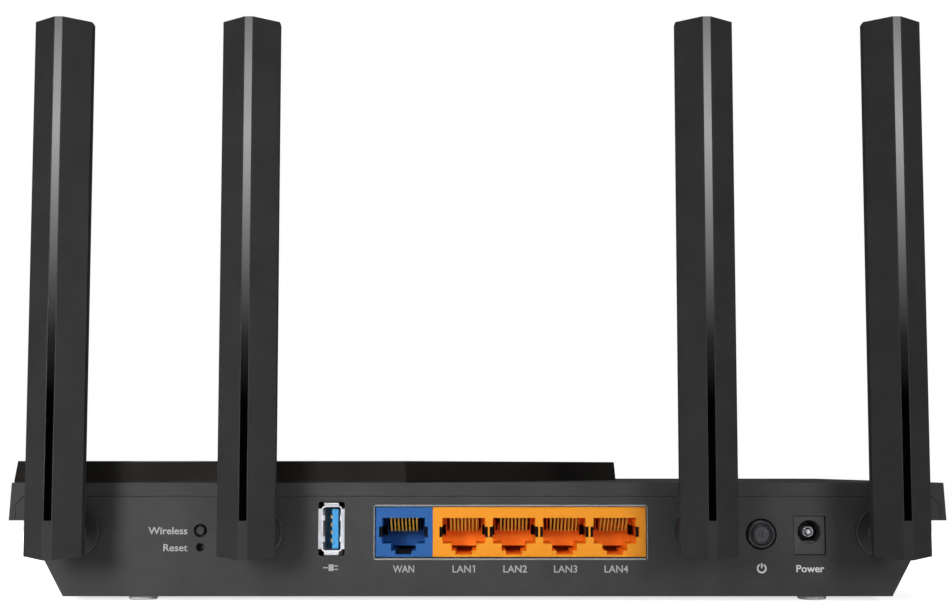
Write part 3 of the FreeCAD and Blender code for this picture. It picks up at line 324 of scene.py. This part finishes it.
def hoop(bm, outer, inner, low, high):
    """A thin frame between two outlines of as many points."""
    rings = [[bm.verts.new((x, y, z)) for x, z in outline]
             for outline, y in ((outer, low), (outer, high), (inner, high), (inner, low))]
    for ring, following in zip(rings, rings[1:] + rings[:1]):
        for index in range(len(ring)):
            follower = (index + 1) % len(ring)
            bm.faces.new((ring[index], ring[follower], following[follower], following[index]))


def capsule(x, z, half, tall_half, steps=10):
    """The outline of an upright bar with round ends."""
    points = []
    for end, start in ((1, 0.0), (-1, math.pi)):
        for step in range(steps + 1):
            angle = start + math.pi * step / steps
            points.append((x + half * math.cos(angle), z + end * (tall_half - half) + half * math.sin(angle)))
    return points


def carved(mesh, outline, low, high):
    """The mesh with a prism cut out of it."""
    bm = bmesh.new()
    prism(bm, outline, low, high)
    tool = bpy.data.objects.new("tool", finished(bm, "tool"))
    solid = bpy.data.objects.new("solid", mesh)
    for item in (tool, solid):
        bpy.context.scene.collection.objects.link(item)
    cutting = solid.modifiers.new("cut", "BOOLEAN")
    cutting.operation = "DIFFERENCE"
    cutting.object = tool
    cutting.solver = "EXACT"
    result = bpy.data.meshes.new_from_object(solid.evaluated_get(bpy.context.evaluated_depsgraph_get()))
    for item in (tool, solid):
        bpy.data.objects.remove(item)
    return result


def middle(node):
    """The middle of a CAD node's box."""
    low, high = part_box(node)
    return (Vector(low) + Vector(high)) / 2


# ---------------------------------------------------------------- case, antennas and sockets
refined("bottom_case", "case", CASE, 0.3 * MM)
refined("top_cover", "case", CASE, 0.3 * MM)
refined("gloss_panel", "case", CROWN, 0.25 * MM)
refined("wan_jack", "case", BLUE, 0.12 * MM)
refined("lan_jacks", "case", ORANGE, 0.12 * MM)
refined("usb_shell", "case", LIP, 0.07 * MM)
refined("usb_tongue", "case", USB_BLUE, 0.1 * MM)
refined("power_inlet", "case", INLET, 0.1 * MM)
refined("heatsink", "case", ALUMINIUM, 0.15 * MM)
refined("line_transformers", "case", EPOXY, 0.3 * MM)
refined("processor", "case", EPOXY, 0.1 * MM)
refined("power_switch", "case", EPOXY, 0.3 * MM)
for tag in "1234":
    refined(f"antenna_{tag}_rear_shell", f"blade_{tag}", SHADED_BLADE, 0.2 * MM, edge=EDGE_HIGHLIGHT)
    refined(f"antenna_{tag}_front_shell", f"blade_{tag}", SHADED_BLADE, 0.2 * MM, edge=EDGE_HIGHLIGHT)
    refined(f"antenna_{tag}_knuckle", f"swivel_{tag}", HUB, 0.15 * MM, edge=RIM_HIGHLIGHT)
    coat(STRIP, f"antenna_{tag}_strip")
    coat(STEEL, f"antenna_{tag}_pin", f"antenna_{tag}_clip")
    coat(BOARD, f"antenna_{tag}_radiator")

coat(SCREW, "case_screws", "board_screws")
coat(LENS, "light_guide")
coat(LAMP, "status_leds")
coat(BOARD, "main_board")
coat(EPOXY, "radio_chips", "tact_switches")
coat(PAD, "thermal_pad")
coat(TIN, "shield_cans", "jack_shield")
coat(SLEEVE, "capacitors")
coat(GOLD, "wan_contacts", "lan_contacts", "usb_contacts")
coat(JACKET, "antenna_leads")


# ---------------------------------------------------------------- turned pieces
def turned(node, body, material, profile, angle=50):
    """A round piece turned about the line through its CAD node, with heights from its front face."""
    centre = middle(node)
    centre.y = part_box(node)[1].y
    bm = bmesh.new()
    lathe(bm, profile, centre)
    mesh = finished(bm, node + "_turned")
    shade(mesh, angle)
    return piece(node + "_turned", mesh, body, material, (node,))


def power_button():
    """Domed cap: a bright outer slope, a groove, a raised ring and a dished face with a bar cut in it."""
    centre = middle("power_button")
    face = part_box("power_button")[1].y
    profile = [
        (0, -8.7), (1.6, -8.7), (1.7, -8.6), (1.7, -5.5), (3.7, -5.5), (3.9, -5.3), (3.92, -1.0),
        (3.88, -0.75), (3.74, -0.5), (3.5, -0.24), (3.32, -0.14), (3.18, -0.2), (2.9, -0.46),
        (2.82, -0.62), (2.8, -1.1), (2.66, -1.1), (2.64, -0.35), (2.6, -0.16), (2.5, -0.06),
        (2.4, -0.06), (2.32, -0.16), (2.28, -0.5), (2.24, -0.75), (2.16, -0.75), (2.12, -0.5),
        (2.06, -0.36), (1.4, -0.42), (0.7, -0.45), (0, -0.46)]
    bm = bmesh.new()
    lathe(bm, profile, (centre.x, face, centre.z), segments=96)
    bar = capsule(centre.x - 0.12 * MM, centre.z - 0.15 * MM, 0.26 * MM, 1.1 * MM)
    mesh = carved(finished(bm, "power_button_turned"), bar, face - 0.75 * MM, face + 1 * MM)
    shade(mesh, 50)
    piece("power_button_turned", mesh, "power_button_body", BUTTON, ("power_button",))


PIN_RADIUS = 0.78


def inlet_pin():
    """The inlet's contact ring and its round-nosed centre pin."""
    reach = [(PIN_RADIUS * math.cos(angle), PIN_RADIUS * (math.sin(angle) - 1))
             for angle in [math.pi / 2 * step / 8 for step in range(8)]]
    profile = [(0, -10.2), (1.42, -10.2), (1.42, -0.95), (1.38, -0.84), (1.3, -0.8), (1.22, -0.84),
               (1.18, -0.95), (1.16, -9.2), (PIN_RADIUS, -9.3)] + reach + [(0, 0)]
    turned("power_inlet_pin", "case", BARREL, profile)


def feet():
    """Four soft feet with a small chamfer round their lower edge."""
    low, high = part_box("rubber_feet")
    radius, tall = 4.0, (high.z - low.z) / MM
    profile = [(0, 0), (radius - 0.55, 0), (radius - 0.25, 0.08), (radius - 0.08, 0.3), (radius - 0.05, tall),
               (0, tall)]
    bm = bmesh.new()
    for x in (low.x + radius * MM, high.x - radius * MM):
        for y in (low.y + radius * MM, high.y - radius * MM):
            lathe(bm, profile, (x, y, low.z), axis="z")
    mesh = finished(bm, "rubber_feet_turned")
    shade(mesh, 50)
    piece("rubber_feet_turned", mesh, "case", RUBBER, ("rubber_feet",))


def port_middles():
    """The x of the middle of the uplink socket and of the four network sockets."""
    wan_low, wan_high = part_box("wan_contacts")
    lan_low, lan_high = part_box("lan_contacts")
    half = (wan_high.x - wan_low.x) / 2
    first, last = lan_high.x - half, lan_low.x + half
    return [wan_low.x + half] + [first + (last - first) * index / 3 for index in range(4)]


def socket_shade_and_highlight():
    """Painted shade: dark tinted sheets behind the sockets, and black pads that close their side notches and
    key slots, where there is only shade.
    """
    low = Vector(map(min, *(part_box(name)[0] for name in ("wan_jack", "lan_jacks"))))
    high = Vector(map(max, *(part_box(name)[1] for name in ("wan_jack", "lan_jacks"))))
    back, face = low.y, high.y
    for node, slot, shade_sheet in (("wan_jack", "wan_blue", SHADE_BLUE), ("lan_jacks", "lan_orange", SHADE_ORANGE)):
        left, right = (corner.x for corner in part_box(node))
        bm = bmesh.new()
        block(bm, (left, right), (back - 0.15 * MM, back - 0.05 * MM), (low.z, high.z))
        piece(node + "_back_shade_sheet", finished(bm, node + "_back_shade_sheet"), "case", shade_sheet)
    # Black pads in each socket's side notches and in the uplink's key slot: painted shade.
    bm = bmesh.new()
    pad_back = back + 0.05 * MM
    notch = (17.55 * MM, 20.35 * MM)
    pads = ((5.25, 5.94, pad_back, back + 6.3 * MM), (5.97, 6.71, face - 2.2 * MM, face - 1.0 * MM))
    for middle_x in port_middles():
        for turn in (1, -1):
            for near, far, start, end in pads:
                ends = sorted((middle_x + turn * near * MM, middle_x + turn * far * MM))
                block(bm, ends, (start, end), notch)
    uplink, key_half = port_middles()[0], 2.2 * MM
    block(bm, (uplink - key_half, uplink + key_half), (pad_back, face - 4 * MM), (12.8 * MM, 13.75 * MM))
    piece("socket_shade_pads", finished(bm, "socket_shade_pads"), "case", SHADE_BLACK)
    socket_window_highlight(low, high)


def socket_window_highlight(low, high, side_gap=0.2 * MM, drop=0.6 * MM, rise=0.5 * MM, width=0.15 * MM,
                       corner=0.5 * MM):
    """A painted highlight: a thin light grey line round the window that the sockets show through."""
    left, right, bottom, top = low.x - side_gap, high.x + side_gap, low.z - drop, high.z + rise
    opening = rounded_corners((left, right), (bottom, top), corner)
    border = rounded_corners((left - width, right + width), (bottom - width, top + width), corner + width)
    bm = bmesh.new()
    hoop(bm, border, opening, PANEL_Y - 0.02 * MM, PANEL_Y + 0.03 * MM)
    piece("socket_window_highlight", finished(bm, "socket_window_highlight"), "case", WINDOW_HIGHLIGHT)


power_button()
inlet_pin()
feet()
socket_shade_and_highlight()
turned("wps_button", "wps_button_body", SATIN,
       [(0, -5.4), (1.3, -5.4), (1.3, -4.6), (2.4, -4.6), (2.4, -3.7), (1.3, -3.7), (1.3, -0.3),
        (1.24, -0.1), (1.08, 0), (0.94, -0.08), (0, -0.14)])
turned("reset_button", "reset_button_body", BUTTON,
       [(0, -2.7), (0.7, -2.7), (0.7, -1.9), (1.6, -1.9), (1.6, -1.0), (0.7, -1.0), (0.7, -0.2),
        (0.5, 0), (0, 0)])


# ---------------------------------------------------------------- labels
INK_LOW, INK_HIGH = PANEL_Y - 0.02 * MM, PANEL_Y + 0.03 * MM
CAP_HEIGHT = 2.0 * MM
CAP_SHARE = 0.72


def lettering(name, words, x, z, align="CENTER", width=1.0, ink=INK):
    """Thin printed words on the panel, read from in front; z is the middle of the capitals."""
    curve = bpy.data.curves.new(name, "FONT")
    curve.body = words
    curve.align_x = align
    curve.size = CAP_HEIGHT / CAP_SHARE
    curve.offset = 0.04 * MM
    curve.extrude = (INK_HIGH - INK_LOW) / 2
    holder = bpy.data.objects.new(name + "_outline", curve)
    mesh = bpy.data.meshes.new_from_object(holder)
    bpy.data.objects.remove(holder)
    for vertex in mesh.vertices:
        across, up, out = vertex.co
        vertex.co = (x - across * width, (INK_LOW + INK_HIGH) / 2 + out, z - CAP_HEIGHT / 2 + up)
    piece(name, mesh, "case", ink)


def figure_one(x, z, half=0.15 * MM, flag=0.55 * MM, drop=0.5 * MM):
    """A figure one with a slanted flag, as tall as the capitals."""
    top, foot = z + CAP_HEIGHT / 2, z - CAP_HEIGHT / 2
    bm = bmesh.new()
    outline = [(x - half, foot), (x + half, foot), (x + half, top - 1.7 * half),
               (x + flag, top - drop - half), (x + flag, top - drop + half), (x + half, top), (x - half, top)]
    prism(bm, outline, INK_LOW, INK_HIGH)
    piece("label_figure_one", finished(bm, "label_figure_one"), "case", INK)


def power_symbol(x, z, radius=1.14 * MM, width=0.44 * MM, opening=28, steps=40):
    """A ring open at the top with an upright bar in the gap."""
    start = math.radians(90 + opening)
    sweep = math.radians(360 - 2 * opening)
    angles = [start + sweep * step / steps for step in range(steps + 1)]
    outer = [(x + (radius + width / 2) * math.cos(a), z + (radius + width / 2) * math.sin(a)) for a in angles]
    inner = [(x + (radius - width / 2) * math.cos(a), z + (radius - width / 2) * math.sin(a)) for a in angles]
    bm = bmesh.new()
    prism(bm, outer + inner[::-1], INK_LOW, INK_HIGH)
    prism(bm, capsule(x, z + 0.75 * MM, width / 2, 0.75 * MM), INK_LOW, INK_HIGH)
    piece("label_power_symbol", finished(bm, "label_power_symbol"), "case", INK_LIGHT)


def plug_symbol(x, z):
    """A small plug lying on its side: a body with two prongs and a short lead."""
    body, lead = (-0.7, 0.7, -0.9, 0.9), (0.85, 2.2, -0.16, 0.16)
    prongs = ((-1.9, -0.85, 0.32, 0.62), (-1.9, -0.85, -0.62, -0.32))
    bm = bmesh.new()
    for left, right, low, high in (body, *prongs, lead):
        block(bm, (x + left * MM, x + right * MM), (INK_LOW, INK_HIGH), (z + low * MM, z + high * MM))
    piece("label_plug_symbol", finished(bm, "label_plug_symbol"), "case", INK)


def panel_labels():
    """Plain words and symbols beside the sockets and buttons."""
    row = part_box("power_inlet")[1].z - 14.4 * MM
    uplink, *network = [spot - 0.2 * MM for spot in port_middles()]
    lettering("label_wan", "WAN", uplink, row, width=0.86)
    for number, spot in enumerate(network, start=1):
        if number == 1:
            lettering("label_lan_1", "LAN", spot + 0.75 * MM, row)
            figure_one(spot - 2.75 * MM, row)
        else:
            lettering(f"label_lan_{number}", f"LAN{number}", spot, row)
    plug_symbol(middle("usb_shell").x, row + 0.3 * MM)
    power_symbol(middle("power_button").x, row + 0.1 * MM)
    lettering("label_power", "Power", middle("power_inlet").x + 0.1 * MM, row + 0.1 * MM, width=1.06,
              ink=INK_LIGHT)
    for name, words, node in (("label_wireless", "Wireless", "wps_button"),
                              ("label_reset", "Reset", "reset_button")):
        spot = middle(node)
        lettering(name, words, spot.x + 3.5 * MM, spot.z, align="RIGHT", width=1.08)


panel_labels()


# ---------------------------------------------------------------- stage
SENSOR = 36.0
DISTANCE = 0.350
EYE_HEIGHT = 36.7 * MM
VIEW_WIDTH = 264.8 * MM
EYE_ACROSS = 0.44 * MM
HORIZON_DROP = 0.170
FLOOR_RADIUS = 0.42
FLOOR_BOUNCE = 0.05
SHIFT = 0.082
AMBIENT = 0.05
BAND = ((-1.0, 0.0), (0.0, 0.0), (0.055, 0.0), (0.1, 0.05), (0.14, 0.22), (0.18, 0.46), (0.22, 0.76),
        (0.255, 1.0), (0.3, 0.82), (0.34, 0.5), (0.42, 0.2), (1.0, 0.2))
BAND_AHEAD = 3.1
BAND_ELSEWHERE = 0.2


def add_camera():
    """A long lens level with the case's top, a little raised, shifted to frame the blades."""
    data = bpy.data.cameras.new("camera")
    data.sensor_width = SENSOR
    data.lens = SENSOR * DISTANCE / VIEW_WIDTH
    data.shift_y = SHIFT
    data.clip_start = 0.01
    camera = bpy.data.objects.new("camera", data)
    pitch = math.atan((HORIZON_DROP - SHIFT) * VIEW_WIDTH / DISTANCE)
    camera.location = (EYE_ACROSS, PANEL_Y + DISTANCE, EYE_HEIGHT)
    camera.rotation_euler = (math.pi / 2 + pitch, 0.0, math.pi)
    bpy.context.scene.collection.objects.link(camera)
    bpy.context.scene.camera = camera


def add_softbox(name, place, target, size, power, mirrored=True, spread=180):
    """A rectangular studio light aimed at a point; the gloss may be kept from mirroring it."""
    data = bpy.data.lights.new(name, "AREA")
    data.shape = "RECTANGLE"
    data.size, data.size_y = size
    data.energy = power
    data.spread = math.radians(spread)
    light = bpy.data.objects.new(name, data)
    light.location = place
    light.rotation_euler = (Vector(place) - Vector(target)).to_track_quat("Z", "Y").to_euler()
    light.visible_glossy = mirrored
    bpy.context.scene.collection.objects.link(light)


def add_floor():
    """A pale round table top that brightens into the white backdrop towards its edge."""
    bm = bmesh.new()
    bmesh.ops.create_circle(bm, cap_ends=True, segments=128, radius=FLOOR_RADIUS)
    mesh = bpy.data.meshes.new("floor")
    bm.to_mesh(mesh)
    bm.free()
    floor = bpy.data.objects.new("floor", mesh)
    floor.location.z = -0.05 * MM
    bpy.context.scene.collection.objects.link(floor)
    made = Graph("pale floor")
    made.paint(0.84, 0.88, 0.2)
    made.set(Roughness=0.9, Specular_IOR_Level=0.1, Emission_Color=colour(1.0))
    reach = made.add("ShaderNodeVectorMath", operation="LENGTH")
    made.link(made.place, reach.inputs[0])
    glow = made.add("ShaderNodeMapRange", interpolation_type="SMOOTHSTEP")
    glow.inputs["From Min"].default_value = 0.1
    glow.inputs["From Max"].default_value = FLOOR_RADIUS * 0.9
    glow.inputs["To Min"].default_value = 0.75
    glow.inputs["To Max"].default_value = 1.0
    made.link(reach.outputs["Value"], glow.inputs["Value"])
    bounce = made.add("ShaderNodeMix")
    bounce.inputs["A"].default_value = FLOOR_BOUNCE
    made.link(made.add("ShaderNodeLightPath").outputs["Is Camera Ray"], bounce.inputs["Factor"])
    made.link(glow.outputs["Result"], bounce.inputs["B"])
    made.link(bounce.outputs["Result"], made.shader.inputs["Emission Strength"])
    mesh.materials.append(made.material)


def add_world():
    """White backdrop; a plain ambient for matt surfaces, and a soft band ahead of the panel for the gloss."""
    world = bpy.data.worlds.new("studio")
    bpy.context.scene.world = world
    world.use_nodes = True
    tree = world.node_tree
    tree.nodes.clear()

    def add(kind, **inputs):
        made = tree.nodes.new(kind)
        for key, value in inputs.items():
            made.inputs[key.replace("_", " ")].default_value = value
        return made

    backdrop = add("ShaderNodeBackground", Color=colour(1.0), Strength=1.0)
    ambient = add("ShaderNodeBackground", Color=colour(1.0), Strength=AMBIENT)
    band = add("ShaderNodeBackground")
    path = add("ShaderNodeLightPath")
    softened = add("ShaderNodeMixShader")
    seen = add("ShaderNodeMixShader")
    coords = add("ShaderNodeTexCoord")
    parts = add("ShaderNodeSeparateXYZ")
    height = add("ShaderNodeValToRGB")
    while len(height.color_ramp.elements) < len(BAND):
        height.color_ramp.elements.new(0.5)
    for element, (position, value) in zip(height.color_ramp.elements, BAND):
        element.position = (position + 1) / 2
        element.color = colour(value)
    rise = add("ShaderNodeMapRange", From_Min=-1.0, From_Max=1.0)
    ahead = add("ShaderNodeMapRange", From_Min=0.8, From_Max=0.92, To_Min=BAND_ELSEWHERE, To_Max=BAND_AHEAD)
    ahead.interpolation_type = "SMOOTHSTEP"
    for source, target in (
            (coords.outputs["Generated"], parts.inputs["Vector"]),
            (parts.outputs["Z"], rise.inputs["Value"]),
            (parts.outputs["Y"], ahead.inputs["Value"]),
            (rise.outputs["Result"], height.inputs["Fac"]),
            (height.outputs["Color"], band.inputs["Color"]),
            (ahead.outputs["Result"], band.inputs["Strength"]),
            (path.outputs["Is Diffuse Ray"], softened.inputs["Fac"]),
            (band.outputs["Background"], softened.inputs[1]),
            (ambient.outputs["Background"], softened.inputs[2]),
            (path.outputs["Is Camera Ray"], seen.inputs["Fac"]),
            (softened.outputs["Shader"], seen.inputs[1]),
            (backdrop.outputs["Background"], seen.inputs[2]),
            (seen.outputs["Shader"], add("ShaderNodeOutputWorld").inputs["Surface"])):
        tree.links.new(source, target)


add_camera()
add_floor()
add_world()
add_softbox("key", (0.21, 0.48, 0.14), (0.10, 0.05, 0.06), (0.12, 0.2), 0.27, mirrored=False, spread=56)
add_softbox("fill", (-0.26, 0.48, 0.16), (-0.085, 0.07, 0.14), (0.12, 0.2), 0.35, mirrored=False, spread=80)
add_softbox("low", (0.0, 0.5, 0.03), (0.0, 0.05, 0.0), (0.5, 0.04), 0.05, mirrored=False)
add_softbox("top", (0.0, -0.1, 1.1), (0.0, 0.0, 0.0), (0.9, 0.9), 5.0)
add_softbox("edge", (0.28, 0.5, 0.6), (0.0, 0.05, 0.03), (0.12, 0.12), 0.9)
add_softbox("front", (0.35, -0.75, 0.45), (0.0, -0.05, 0.03), (0.5, 0.4), 4.0, mirrored=False)
bpy.context.scene.view_settings.view_transform = "Standard"
